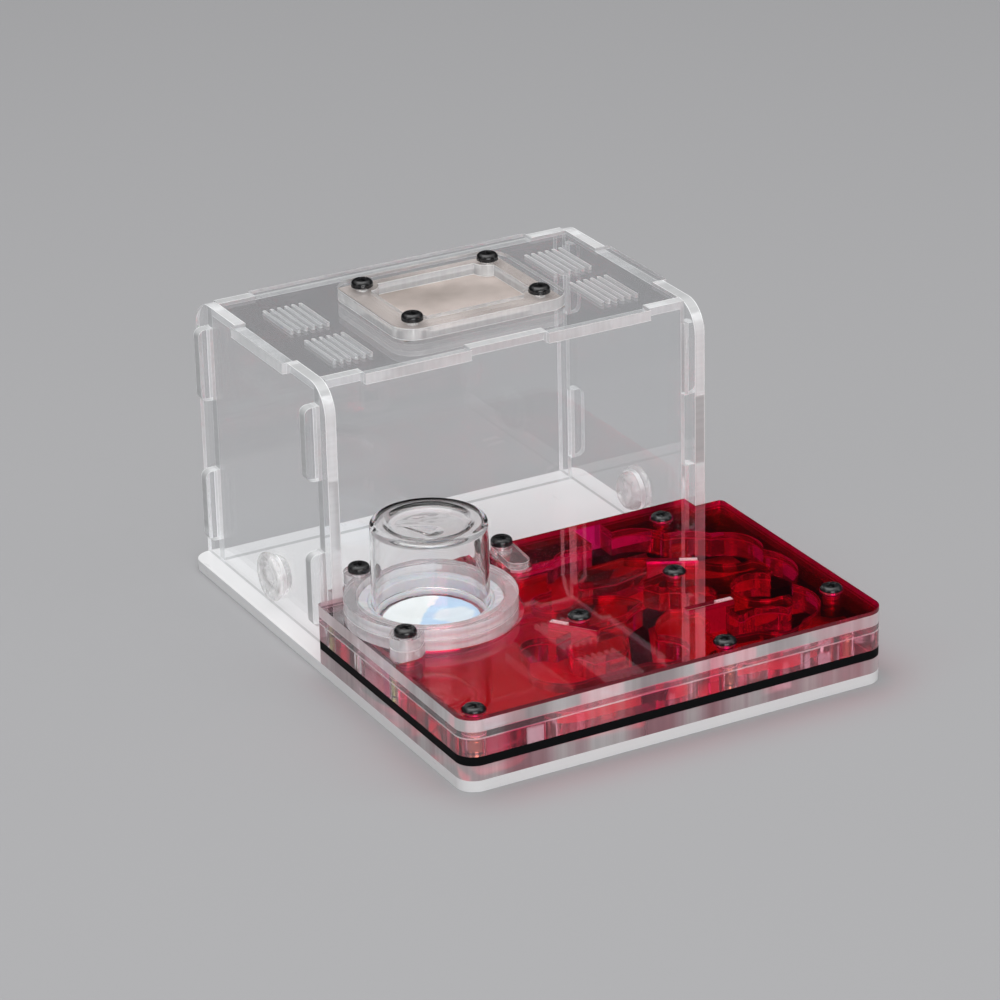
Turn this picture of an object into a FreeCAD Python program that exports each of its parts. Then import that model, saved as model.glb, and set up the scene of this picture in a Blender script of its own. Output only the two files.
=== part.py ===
import FreeCAD, Part
import math
import os

# Ant habitat: a laminated nest with a red filter in front, a finger-jointed arena behind.
# Millimetres. X runs along the front edge, Y from the front to the back, Z is up.
# The origin is the middle of the base plate's underside.

# ---------------------------------------------------------------- driving dimensions
V = FreeCAD.Vector

BASE_WIDTH = 120.0
BASE_THICK = 3.0
BASE_CORNER = 5.0

TRAY_THICK = 4.0
GASKET_THICK = 2.4
BODY_THICK = 4.8
SPACER_THICK = 2.0
COVER_THICK = 3.0
FILTER_THICK = 1.0

NEST_LENGTH = 78.6         # front edge to the shoulders beside the tongue
NEST_SHOULDER_GAP = 0.6    # shoulders to the front edges of the side panels
NEST_TONGUE_GAP = 0.3      # tongue to the side panels
STEP_CORNER = 1.5

SHEET = 3.0                # thickness of every arena panel
ARENA_INSET = 4.9          # side panels in from the base plate's long edges
ARENA_HEIGHT = 73.2        # from the base plate to the top face
ARENA_OVERHANG = 5.2       # side panels beyond the front and back panels
ARENA_LENGTH = 75.8        # side panels, front edge to back edge
PANEL_CORNER = 8.0         # upper corners of the side panels
TAB_REACH = 3.2            # tabs beyond the outer faces of the side panels
TAB_HEIGHT = 20.0
TAB_SPACING = 40.2         # between the middles of the two tabs on one edge
TAB_CORNER = 2.0
TOP_REACH = 1.2            # tabs of the top panel beyond the faces they pass
TOP_TAB = 30.2             # length of the top panel's tabs
TOP_TAB_MIDDLE = 26.3      # middle of each front tab from the centre line
TOP_SIDE_TAB = 30.0
FIT = 0.1                  # glued and plugged joints
FILM = 0.02                # air left between flat sheets that lie on each other
SLIDE = 0.25               # clearance beside a piece that moves
LAP = 1.0                  # overlap of solids that are joined or cut
TINY = 1e-4                # tolerance for finding edges

DOOR_WIDTH = 8.0

VENT_WIDTH = 1.0
VENT_LENGTH = 17.0
VENT_PITCH = 2.08
VENT_COUNT = 6
VENT_INSET = 13.2          # middle of a group from the side panel
VENT_GROUP_Y = 12.2        # middle of a group from the hatch's cross line
HATCH_WIDTH = 50.0
HATCH_LENGTH = 41.4
HATCH_THICK = 3.2
HATCH_CORNER = 6.5
HATCH_SHIFT = 1.6          # hatch and vents in front of the arena's middle
HATCH_OPEN_WIDTH = 36.4
HATCH_OPEN_LENGTH = 27.4
HATCH_BOSS = 4.3
HATCH_SCREW_X = 18.6
HATCH_SCREW_Y = 14.1
MESH_THICK = 0.5
MESH_INSET = 1.2

PORT_SHIFT = 3.1           # side ports in front of the arena's middle
PORT_HEIGHT = 8.8          # middle of the side ports above the base plate
PORT_BORE = 11.4
PLUG_FLANGE = 14.0
PLUG_FLANGE_THICK = 2.2
PLUG_END = 10.0
PLUG_REACH = 4.4           # stem beyond the panel's inner face
PLUG_TIP_ROUND = 3.2

TOWER_IN = 22.0            # tower's middle from the nest's left edge
TOWER_BACK = 20.6          # tower's middle from the shoulders
TOWER_LUGS = [(-9.5, 21.0), (-16.6, -18.1)]    # from the tower's middle
RING_DIAMETER = 44.0
RING_THICK = 3.0
RING_BORE = 33.0
CLAMP_BORE = 37.4
LUG_RADIUS = 4.0
WELL_DIAMETER = 25.2
WELL_DEPTH = 2.5           # pocket of the well in the tray
CHANNEL_STEP = 1.25        # water channel's floor above the pocket's
PAD_DIAMETER = 24.6
PAD_PROUD = 0.5            # wick pad above the cover
CUP_DIAMETER = 30.0
CUP_HEIGHT = 24.4
CUP_WALL = 1.2
CUP_CORNER = 2.0
CUP_DISH_DIAMETER = 22.4
CUP_DISH_DEPTH = 1.2
SEAL_DIAMETER = 36.6
SEAL_THICK = 1.2           # flange that the clamp ring surrounds
SOCKET_DIAMETER = 32.4     # socket of the seal in the base ring
LIP_BORE = 26.0            # lip that the cup stands on
LIP_THICK = 1.3

FLAP_X = -6.0              # flap's screw from the centre line
FLAP_IN = 4.7              # and from the tongue's back edge
FLAP_WIDTH = 5.9
FLAP_LENGTH = 10.3         # screw to the middle of the rounded tip
FLAP_TURN = 5.0            # degrees that the closed flap leans from straight ahead
FLAP_THICK = 2.0
WASHER_THICK = 1.2
WASHER_DIAMETER = 5.6
PORT_HOLE = 4.0            # watering hole that the flap closes

SCREW_HEAD = 5.76
SCREW_HEAD_HEIGHT = 2.0
SCREW_DOME = 1.2           # radius that rounds the head's rim
SCREW_CROSS = 3.0          # span of the cross recess
SCREW_CROSS_WIDTH = 0.75
SCREW_CROSS_DEPTH = 1.3
SCREW_SHANK = 2.9
SCREW_HOLE = 3.2
SCREW_END_LIFT = 1.5       # screw tip above the foot of its insert
FILTER_HOLE = 6.2
INSERT_DIAMETER = 4.2
INSERT_BORE = 3.0

GATE_WIDTH = 12.8
GATE_THICK = 1.5
GATE_GRIP = 4.6
GATE_STEP = 0.6            # rest of the gate below the cover's top
GATE_FLOOR = 0.2

RING_CUT = 1.3             # filter's edge outside the tower ring
FLAP_CUT = 0.8             # filter's edge outside the flap
FILTER_TOWER_EDGE_X = -20.0
GASKET_BORDER = 4.5
GASKET_STRIP = 5.0
GASKET_RING = 1.5          # round the well

# ---------------------------------------------------------------- levels
TRAY_Z = BASE_THICK
GASKET_Z = TRAY_Z + TRAY_THICK
BODY_Z = GASKET_Z + GASKET_THICK
SPACER_Z = BODY_Z + BODY_THICK
COVER_Z = SPACER_Z + SPACER_THICK
FILTER_Z = COVER_Z + COVER_THICK
FILTER_TOP = FILTER_Z + FILTER_THICK
ARENA_TOP = BASE_THICK + ARENA_HEIGHT
PANEL_MID_Z = BASE_THICK + ARENA_HEIGHT / 2
PORT_Z = BASE_THICK + PORT_HEIGHT

# ---------------------------------------------------------------- planes
BASE_LENGTH = NEST_LENGTH + NEST_SHOULDER_GAP + ARENA_LENGTH
SIDE_OUT = BASE_WIDTH / 2 - ARENA_INSET
SIDE_IN = SIDE_OUT - SHEET
SIDE_BACK_Y = BASE_LENGTH / 2
SIDE_FRONT_Y = SIDE_BACK_Y - ARENA_LENGTH
FRONT_OUT = SIDE_FRONT_Y + ARENA_OVERHANG
FRONT_IN = FRONT_OUT + SHEET
BACK_OUT = SIDE_BACK_Y - ARENA_OVERHANG
BACK_IN = BACK_OUT - SHEET
ARENA_MID_Y = (FRONT_OUT + BACK_OUT) / 2
HATCH_Y = ARENA_MID_Y - HATCH_SHIFT
PORT_Y = ARENA_MID_Y - PORT_SHIFT
VENT_GROUP_X = SIDE_IN - VENT_INSET
NEST_LEFT = -BASE_WIDTH / 2
NEST_FRONT = -BASE_LENGTH / 2
SHOULDER_Y = SIDE_FRONT_Y - NEST_SHOULDER_GAP
TONGUE_X = SIDE_IN - NEST_TONGUE_GAP
TONGUE_Y = FRONT_OUT - FIT

# ---------------------------------------------------------------- nest layout
# Places are drawn from the nest's left and front edges, on a sheet of the size below.
# The drawing stretches with the nest, and the widths of what lies on it stay.
LAYOUT_WIDTH = 120.0
LAYOUT_LENGTH = 78.6

LAYOUT_SCREWS = [(100.4, 77.0), (86.0, 46.4), (52.2, 36.1), (75.6, 4.8), (114.4, 16.8), (5.0, 4.3)]
DOOR_RUN = (82, 70.5)

# Chambers: middle and radius.
CHAMBERS = [
    ((88, 69), 9.5),
    ((106, 54.5), 10.0),
    ((102, 30), 8.0),
    ((94, 12), 7.5),
    ((79, 35.5), 7.0),
    ((61, 12.5), 8.0),
    ((36, 15.5), 9.0),
    ((52, 49.5), 5.5),
]

# Straight galleries with round ends: start, end, half width.
GALLERIES = [
    ((70, 68.5), (84, 69), 6.0),
    ((60, 52.5), (52, 49.5), 4.5),
    ((91, 66.5), (88.5, 53.8), 3.0),
    ((88.5, 53.8), (74, 50.5), 3.0),
    ((61, 51.5), (74, 49), 4.0),
    ((79, 34.5), (86, 34.5), 4.5),
    ((83.8, 34.5), (83.8, 17.5), 4.0),
    ((81, 14), (94, 12), 5.0),
    ((61, 11.5), (38, 11.5), 4.5),
    ((36, 17.5), (37, 27.5), 6.0),
    ((50.1, 29.8), (66, 31), 2.5),
    ((53.1, 68.3), (70, 68.5), 3.2),
]

# Bends with round ends: start, a point on the way, end, half width.
BENDS = [
    ((71, 67.5), (62, 62), (59, 52.5), 4.0),
    ((90, 65), (99, 66.5), (106, 60), 3.6),
    ((110, 48), (113.3, 39), (108, 31), 3.5),
    ((66, 50), (73, 45), (76, 36), 4.6),
    ((106, 25), (107, 17.5), (100, 11.5), 3.6),
    ((74, 34), (64, 27), (60.5, 15), 4.2),
    ((37, 25), (43, 28), (50.1, 29.8), 2.5),
]

# Black strips of the gasket inside its border.
GASKET_STRIPS = [
    ((22, 58), (12.5, 79)),
    ((88, 78.5), (76, 66)),
    ((76, 66), (57.4, 46.1)),
    ((57.4, 46.1), (52.2, 36.1)),
    ((72, 41.5), (53, 4.5)),
    ((72, 41.5), (86, 46.4)),
    ((86, 46.4), (98, 41.5)),
    ((98, 41.5), (116, 41)),
    ((90, 22.5), (116, 20.5)),
    ((100.4, 83.5), (100.4, 77)),
    ((102, 71), (116, 70)),
]

# The wick pad's water reaches the nest along a channel in the tray.
CHANNEL_END = (64, 49.5)

# Drop-in gates: the middle of each slot, its angle, and the end that carries the grip.
GATE_PLACES = {"gate_right": (89.2, 52.7), "gate_front": (83.6, 25.4), "gate_left": (48.4, 32.1)}
GATE_ANGLES = {"gate_right": -28.0, "gate_front": -2.0, "gate_left": -54.5}
GATE_GRIP_ENDS = {"gate_right": 1, "gate_front": 1, "gate_left": -1}


def place(point):
    """Point of the layout drawing on the real nest."""
    across, along = point
    return NEST_LEFT + across * BASE_WIDTH / LAYOUT_WIDTH, NEST_FRONT + along * NEST_LENGTH / LAYOUT_LENGTH


DOOR_X = place(DOOR_RUN)[0]
TOWER_X = NEST_LEFT + TOWER_IN
TOWER_Y = SHOULDER_Y - TOWER_BACK
FLAP_SCREW = (FLAP_X, TONGUE_Y - FLAP_IN)
COVER_SCREWS = [place(point) for point in LAYOUT_SCREWS]
TOWER_SCREWS = [(TOWER_X + x, TOWER_Y + y) for x, y in TOWER_LUGS]
NEST_SCREWS = COVER_SCREWS + TOWER_SCREWS + [FLAP_SCREW]


# ---------------------------------------------------------------- basic solids
def block(x0, y0, z0, x1, y1, z1):
    return Part.makeBox(x1 - x0, y1 - y0, z1 - z0, V(x0, y0, z0))


def disc(x, y, z0, z1, diameter):
    return Part.makeCylinder(diameter / 2, z1 - z0, V(x, y, z0))


def union(shapes):
    return shapes[0].multiFuse(shapes[1:]).removeSplitter() if len(shapes) > 1 else shapes[0]


def without(shape, tools):
    return shape.cut(tools) if tools else shape


def upright_edges(shape, corners):
    """Vertical edges of shape that stand on one of the given plan points."""
    found = []
    for edge in shape.Edges:
        a, b = edge.Vertexes[0].Point, edge.Vertexes[-1].Point
        if abs(a.x - b.x) + abs(a.y - b.y) > TINY:
            continue
        if any(abs(a.x - x) + abs(a.y - y) < TINY for x, y in corners):
            found.append(edge)
    return found


def rounded_block(x0, y0, z0, x1, y1, z1, radius):
    shape = block(x0, y0, z0, x1, y1, z1)
    return shape.makeFillet(radius, upright_edges(shape, [(x0, y0), (x1, y0), (x0, y1), (x1, y1)]))


def run(a, b, half_width, z0, z1):
    """A straight run with round ends, between levels z0 and z1."""
    length = math.hypot(b[0] - a[0], b[1] - a[1])
    angle = math.degrees(math.atan2(b[1] - a[1], b[0] - a[0]))
    body = block(0, -half_width, z0, length, half_width, z1)
    ends = [disc(0, 0, z0, z1, 2 * half_width), disc(length, 0, z0, z1, 2 * half_width)]
    shape = body.multiFuse(ends).removeSplitter()
    shape.rotate(V(0, 0, 0), V(0, 0, 1), angle)
    shape.translate(V(a[0], a[1], 0))
    return shape


def bend(a, via, b, half_width, z0, z1):
    """A run with round ends along the arc through three plan points."""
    circle = Part.Arc(V(a[0], a[1], z0), V(via[0], via[1], z0), V(b[0], b[1], z0)).toShape().Curve
    middle, radius = circle.Center, circle.Radius

    def beside(point, offset):
        return middle + (V(point[0], point[1], z0) - middle) * ((radius + offset) / radius)

    outer = Part.Arc(*[beside(point, half_width) for point in (a, via, b)]).toShape()
    inner = Part.Arc(*[beside(point, -half_width) for point in (b, via, a)]).toShape()
    sides = [Part.makeLine(beside(point, half_width), beside(point, -half_width)) for point in (a, b)]
    face = Part.Face(Part.Wire([outer, sides[1], inner, sides[0]]))
    ends = [disc(x, y, z0, z1, 2 * half_width) for x, y in (a, b)]
    return union([face.extrude(V(0, 0, z1 - z0))] + ends)


def pan_screw(x, y, seat, tip):
    """Pan-head screw: domed head with a cross recess on the seat level, shank down to the tip."""
    low, top = seat + FILM, seat + SCREW_HEAD_HEIGHT
    head = disc(x, y, low, top, SCREW_HEAD)
    rim = [e for e in head.Edges if min(abs(e.BoundBox.ZMin - top), abs(e.BoundBox.ZMax - top)) < TINY
           and e.BoundBox.ZLength < TINY]
    head = head.makeFillet(SCREW_DOME, rim)
    long, short, floor = SCREW_CROSS / 2, SCREW_CROSS_WIDTH / 2, top - SCREW_CROSS_DEPTH
    cross = [block(x - long, y - short, floor, x + long, y + short, top),
             block(x - short, y - long, floor, x + short, y + long, top)]
    return without(union([head, disc(x, y, tip, low, SCREW_SHANK)]), cross)


# ---------------------------------------------------------------- nest layers
def nest_sheet(z0, z1):
    """One full layer of the nest: front block with rounded corners and the tongue behind it."""
    z1 = z1 - FILM
    wide = block(NEST_LEFT, NEST_FRONT, z0, -NEST_LEFT, SHOULDER_Y, z1)
    front = [(NEST_LEFT, NEST_FRONT), (-NEST_LEFT, NEST_FRONT)]
    back = [(NEST_LEFT, SHOULDER_Y), (-NEST_LEFT, SHOULDER_Y)]
    wide = wide.makeFillet(BASE_CORNER, upright_edges(wide, front))
    wide = wide.makeFillet(STEP_CORNER, upright_edges(wide, back))
    tongue = block(-TONGUE_X, NEST_FRONT / 2, z0, TONGUE_X, TONGUE_Y, z1)
    return union([wide, tongue])


def screw_holes(points, diameter, z0, z1):
    return [disc(x, y, z0, z1, diameter) for x, y in points]


def well(z0, z1):
    return disc(TOWER_X, TOWER_Y, z0, z1, WELL_DIAMETER)


def gate_box(name, width, thick, z0, z1, shift=0.0):
    """Upright box across the named gate's slot, turned to its angle."""
    x, y = place(GATE_PLACES[name])
    shape = block(-width / 2 + shift, -thick / 2, z0, width / 2 + shift, thick / 2, z1)
    shape.rotate(V(0, 0, 0), V(0, 0, 1), GATE_ANGLES[name])
    shape.translate(V(x, y, 0))
    return shape


def gate_slots(z0, z1):
    width = GATE_WIDTH + 2 * SLIDE
    thick = GATE_THICK + 2 * SLIDE
    return [gate_box(name, width, thick, z0, z1) for name in GATE_PLACES]


def chamber_layer(z0, z1):
    """A layer with the galleries, the well, the gate grooves and the insert bores cut through.

    The galleries part it into an outer wall and free-standing islands, which are returned apart.
    """
    cuts = [run(place(a), place(b), half, z0, z1) for a, b, half in GALLERIES]
    cuts += [bend(place(a), place(via), place(b), half, z0, z1) for a, via, b, half in BENDS]
    cuts += [disc(*place(middle), z0, z1, 2 * radius) for middle, radius in CHAMBERS]
    cuts.append(run((DOOR_X, TONGUE_Y + LAP), place(DOOR_RUN), DOOR_WIDTH / 2, z0, z1))
    cuts += screw_holes(NEST_SCREWS, INSERT_DIAMETER + 2 * FIT, z0, z1)
    layer = without(nest_sheet(z0, z1), cuts + gate_slots(z0, z1) + [well(z0, z1)])
    solids = sorted(layer.Solids, key=lambda solid: -solid.Volume)
    return solids[0], Part.makeCompound(solids[1:])


def base_plate():
    half_w, half_l = BASE_WIDTH / 2, BASE_LENGTH / 2
    return rounded_block(-half_w, -half_l, 0, half_w, half_l, BASE_THICK - FILM, BASE_CORNER)


def water_tray():
    floor = GASKET_Z - WELL_DEPTH
    channel = run((TOWER_X, TOWER_Y), place(CHANNEL_END), GASKET_STRIP / 2, floor + CHANNEL_STEP, GASKET_Z)
    return without(nest_sheet(TRAY_Z, GASKET_Z), [well(floor, GASKET_Z), channel])


def gasket():
    """Border all round, strips under the inner walls, and a ring round the well."""
    sheet = nest_sheet(GASKET_Z, BODY_Z)
    inner = [
        block(NEST_LEFT + GASKET_BORDER, NEST_FRONT + GASKET_BORDER, GASKET_Z,
              -NEST_LEFT - GASKET_BORDER, SHOULDER_Y - GASKET_BORDER, BODY_Z),
        block(-TONGUE_X + GASKET_BORDER, SHOULDER_Y - 2 * GASKET_BORDER, GASKET_Z,
              TONGUE_X - GASKET_BORDER, TONGUE_Y - GASKET_BORDER, BODY_Z),
    ]
    kept = [without(sheet, [union(inner)])]
    kept += [run(place(a), place(b), GASKET_STRIP / 2, GASKET_Z, BODY_Z) for a, b in GASKET_STRIPS]
    kept += [disc(x, y, GASKET_Z, BODY_Z, 2 * LUG_RADIUS) for x, y in NEST_SCREWS]
    kept.append(disc(TOWER_X, TOWER_Y, GASKET_Z, BODY_Z, WELL_DIAMETER + 2 * GASKET_RING))
    return without(union(kept).common(sheet), [well(GASKET_Z, BODY_Z)])


def nest_cover():
    """Plain sheet over the galleries, with the watering hole under the flap."""
    z0, z1 = COVER_Z, FILTER_Z
    tip_x, tip_y = flap_tip()
    cuts = screw_holes(NEST_SCREWS, SCREW_HOLE, z0, z1) + gate_slots(z0, z1)
    return without(nest_sheet(z0, z1), cuts + [well(z0, z1), disc(tip_x, tip_y, z0, z1, PORT_HOLE)])


def red_filter():
    """Thin tinted sheet, open round the tower and under the flap."""
    z0, z1 = FILTER_Z, FILTER_TOP
    outside = NEST_LEFT - LAP
    lug_x, lug_y = TOWER_SCREWS[1]
    cuts = screw_holes(COVER_SCREWS, FILTER_HOLE, z0, z1) + gate_slots(z0, z1)
    cuts += [
        disc(TOWER_X, TOWER_Y, z0, z1, RING_DIAMETER + 2 * RING_CUT),
        disc(lug_x, lug_y, z0, z1, 2 * (LUG_RADIUS + FLAP_CUT)),
        block(outside, lug_y - LUG_RADIUS - FLAP_CUT, z0, lug_x, TOWER_Y, z1),
        block(outside, TOWER_Y, z0, FILTER_TOWER_EDGE_X, TONGUE_Y + LAP, z1),
        run(FLAP_SCREW, flap_tip(), FLAP_WIDTH / 2 + FLAP_CUT, z0, z1),
        block(FLAP_SCREW[0] - FLAP_WIDTH / 2 - FLAP_CUT, FLAP_SCREW[1], z0,
              FLAP_SCREW[0] + FLAP_WIDTH / 2 + FLAP_CUT, TONGUE_Y + LAP, z1),
    ]
    return without(nest_sheet(z0, z1), cuts)


def threaded_inserts():
    """Brass bushes that the nest's screws thread into."""
    bushes = []
    for x, y in NEST_SCREWS:
        bush = disc(x, y, BODY_Z + FIT, COVER_Z - FIT, INSERT_DIAMETER)
        bushes.append(bush.cut(disc(x, y, BODY_Z, COVER_Z, INSERT_BORE)))
    return Part.makeCompound(bushes)


def cover_screws():
    return Part.makeCompound([pan_screw(x, y, FILTER_Z, BODY_Z + SCREW_END_LIFT) for x, y in COVER_SCREWS])


# ---------------------------------------------------------------- arena panels
def tab_span(sign):
    """Lower and upper level of the low (-1) or high (1) tab of a corner."""
    middle = PANEL_MID_Z + sign * TAB_SPACING / 2
    return middle - TAB_HEIGHT / 2, middle + TAB_HEIGHT / 2


def side_panel(side):
    """Side panel; side is -1 on the left and 1 on the right."""
    panel = block(SIDE_IN, SIDE_FRONT_Y, BASE_THICK, SIDE_OUT, SIDE_BACK_Y, ARENA_TOP)
    crown = [e for e in panel.Edges if abs(e.Vertexes[0].Y - e.Vertexes[-1].Y) < TINY
             and e.BoundBox.ZMin > ARENA_TOP - TINY and e.Length < SHEET + TINY]
    panel = panel.makeFillet(PANEL_CORNER, crown)
    cuts = []
    for sign in (-1, 1):
        low, high = tab_span(sign)
        low, high = low - FIT, high + FIT
        cuts.append(block(SIDE_IN, FRONT_OUT - FIT, low, SIDE_OUT, FRONT_IN + FIT, high))
        cuts.append(block(SIDE_IN, BACK_IN - FIT, low, SIDE_OUT, BACK_OUT + FIT, high))
    half = TOP_SIDE_TAB / 2 + FIT
    cuts.append(block(SIDE_IN, HATCH_Y - half, ARENA_TOP - SHEET - FIT, SIDE_OUT, HATCH_Y + half, ARENA_TOP))
    cuts.append(Part.makeCylinder(PORT_BORE / 2, SHEET, V(SIDE_IN, PORT_Y, PORT_Z), V(1, 0, 0)))
    panel = without(panel, cuts)
    return panel if side > 0 else panel.mirror(V(0, 0, 0), V(1, 0, 0))


def cross_panel(y0, y1):
    """Front or back panel with its two tabs on each side."""
    parts = [block(-SIDE_IN + FIT, y0, BASE_THICK, SIDE_IN - FIT, y1, ARENA_TOP)]
    reach = SIDE_OUT + TAB_REACH
    for sign in (-1, 1):
        low, high = tab_span(sign)
        bar = block(-reach, y0, low, reach, y1, high)
        ends = [e for e in bar.Edges if e.Length < SHEET + TINY
                and abs(e.Vertexes[0].Y - e.Vertexes[-1].Y) > SHEET / 2]
        parts.append(bar.makeFillet(TAB_CORNER, ends))
    return union(parts)


def top_notch(x0, x1, y0, y1):
    return block(x0 - FIT, y0, ARENA_TOP - SHEET - FIT, x1 + FIT, y1, ARENA_TOP)


def top_tab_spans():
    half = TOP_TAB / 2
    return [(-TOP_TAB_MIDDLE - half, -TOP_TAB_MIDDLE + half), (TOP_TAB_MIDDLE - half, TOP_TAB_MIDDLE + half)]


def front_panel():
    panel = cross_panel(FRONT_OUT, FRONT_IN)
    door = block(DOOR_X - DOOR_WIDTH / 2, FRONT_OUT, BODY_Z, DOOR_X + DOOR_WIDTH / 2, FRONT_IN, COVER_Z)
    cuts = [door] + [top_notch(x0, x1, FRONT_OUT, FRONT_IN) for x0, x1 in top_tab_spans()]
    return without(panel, cuts)


def back_panel():
    spans = top_tab_spans()
    return without(cross_panel(BACK_IN, BACK_OUT), [top_notch(spans[0][0], spans[1][1], BACK_IN, BACK_OUT)])


def hatch_screw_points():
    return [(sx * HATCH_SCREW_X, HATCH_Y + sy * HATCH_SCREW_Y) for sx in (-1, 1) for sy in (-1, 1)]


def hatch_opening(z0, z1):
    """Rectangular opening whose corners round the four screw bosses."""
    half_w, half_l = HATCH_OPEN_WIDTH / 2, HATCH_OPEN_LENGTH / 2
    opening = block(-half_w, HATCH_Y - half_l, z0, half_w, HATCH_Y + half_l, z1)
    return without(opening, [disc(x, y, z0, z1, 2 * HATCH_BOSS) for x, y in hatch_screw_points()])


def vent_slots(z0, z1):
    slots = []
    straight = VENT_LENGTH / 2 - VENT_WIDTH / 2
    for side in (-1, 1):
        for row in (-1, 1):
            mid_y = HATCH_Y + row * VENT_GROUP_Y
            for k in range(VENT_COUNT):
                x = side * VENT_GROUP_X + (k - (VENT_COUNT - 1) / 2) * VENT_PITCH
                slots.append(run((x, mid_y - straight), (x, mid_y + straight), VENT_WIDTH / 2, z0, z1))
    return slots


def top_panel():
    z0, z1 = ARENA_TOP - SHEET, ARENA_TOP
    spans = top_tab_spans()
    parts = [block(-SIDE_IN + FIT, FRONT_IN + FIT, z0, SIDE_IN - FIT, BACK_IN - FIT, z1)]
    parts += [block(x0, FRONT_OUT - TOP_REACH, z0, x1, FRONT_IN + LAP, z1) for x0, x1 in spans]
    parts.append(block(spans[0][0], BACK_IN - LAP, z0, spans[1][1], BACK_OUT + TOP_REACH, z1))
    reach, half = SIDE_OUT + TOP_REACH, TOP_SIDE_TAB / 2
    parts.append(block(-reach, HATCH_Y - half, z0, reach, HATCH_Y + half, z1))
    cuts = [hatch_opening(z0, z1)] + vent_slots(z0, z1)
    cuts += screw_holes(hatch_screw_points(), SCREW_SHANK + 2 * FIT, z0, z1)
    return without(union(parts), cuts)


# ---------------------------------------------------------------- hatch
MESH_Z = ARENA_TOP + FILM
MESH_TOP = MESH_Z + MESH_THICK
FRAME_Z = MESH_TOP + FILM
FRAME_TOP = FRAME_Z + HATCH_THICK


def vent_mesh():
    half_w, half_l = HATCH_WIDTH / 2 - MESH_INSET, HATCH_LENGTH / 2 - MESH_INSET
    sheet = rounded_block(-half_w, HATCH_Y - half_l, MESH_Z, half_w, HATCH_Y + half_l, MESH_TOP,
                          HATCH_CORNER - MESH_INSET)
    return without(sheet, screw_holes(hatch_screw_points(), SCREW_HOLE, MESH_Z, MESH_TOP))


def hatch_frame():
    half_w, half_l = HATCH_WIDTH / 2, HATCH_LENGTH / 2
    frame = rounded_block(-half_w, HATCH_Y - half_l, FRAME_Z, half_w, HATCH_Y + half_l, FRAME_TOP,
                          HATCH_CORNER)
    cuts = [hatch_opening(FRAME_Z, FRAME_TOP)]
    return without(frame, cuts + screw_holes(hatch_screw_points(), SCREW_HOLE, FRAME_Z, FRAME_TOP))


def hatch_screws():
    tip = ARENA_TOP - SHEET + FIT
    return Part.makeCompound([pan_screw(x, y, FRAME_TOP, tip) for x, y in hatch_screw_points()])


# ---------------------------------------------------------------- turned pieces
def turned(points, origin, axis):
    """Solid of revolution from (radius, height) points; a third value bends a side into an arc."""
    edges = []
    flat = [V(p[0], 0, p[1]) for p in points]
    for k, a in enumerate(flat):
        b = flat[(k + 1) % len(flat)]
        via = points[(k + 1) % len(flat)][2:]
        if via:
            edges.append(Part.Arc(a, V(via[0][0], 0, via[0][1]), b).toShape())
        else:
            edges.append(Part.makeLine(a, b))
    solid = Part.Face(Part.Wire(edges)).revolve(V(0, 0, 0), V(0, 0, 1), 360)
    solid.Placement = FreeCAD.Placement(origin, FreeCAD.Rotation(V(0, 0, 1), axis))
    return solid


def corner_point(cx, cz, radius, degrees):
    return (cx + radius * math.cos(math.radians(degrees)), cz + radius * math.sin(math.radians(degrees)))


def side_plug(side):
    """Clear push-in plug: domed flange outside, tapered stem through the panel."""
    flange, bore, tip = PLUG_FLANGE / 2, PORT_BORE / 2 - SLIDE, PLUG_END / 2
    depth = SHEET + PLUG_REACH
    rim, tip_round = PLUG_FLANGE_THICK / 2, PLUG_TIP_ROUND
    profile = [
        (0, PLUG_FLANGE_THICK),
        (flange - rim, PLUG_FLANGE_THICK),
        (flange - rim, 0, corner_point(flange - rim, rim, rim, 0)),
        (bore, 0),
        (bore, -SHEET),
        (tip, -depth + tip_round),
        (tip - tip_round, -depth, corner_point(tip - tip_round, -depth + tip_round, tip_round, -45)),
        (0, -depth),
    ]
    return turned(profile, V(side * (SIDE_OUT + FIT), PORT_Y, PORT_Z), V(side, 0, 0))


def ring_with_lugs(z0, bore):
    """Clear ring with two lugs for the tower's screws."""
    z1 = z0 + RING_THICK - FILM
    parts = [disc(TOWER_X, TOWER_Y, z0, z1, RING_DIAMETER)]
    for x, y in TOWER_SCREWS:
        inner = ((x + TOWER_X) / 2, (y + TOWER_Y) / 2)
        parts.append(run((x, y), inner, LUG_RADIUS, z0, z1))
    cuts = [disc(TOWER_X, TOWER_Y, z0, z1, bore)] + screw_holes(TOWER_SCREWS, SCREW_HOLE, z0, z1)
    return without(union(parts), cuts)


CLAMP_Z = FILTER_Z + RING_THICK
CLAMP_TOP = CLAMP_Z + RING_THICK
SEAL_Z = FILTER_Z + FIT
CUP_Z = SEAL_Z + LIP_THICK + FILM


def tower_base_ring():
    return ring_with_lugs(FILTER_Z, RING_BORE)


def tower_clamp_ring():
    return ring_with_lugs(CLAMP_Z, CLAMP_BORE)


def tower_screws():
    return Part.makeCompound([pan_screw(x, y, CLAMP_TOP, BODY_Z + SCREW_END_LIFT) for x, y in TOWER_SCREWS])


def wick_pad():
    return disc(TOWER_X, TOWER_Y, GASKET_Z - WELL_DEPTH + FILM, FILTER_Z + PAD_PROUD, PAD_DIAMETER)


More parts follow.
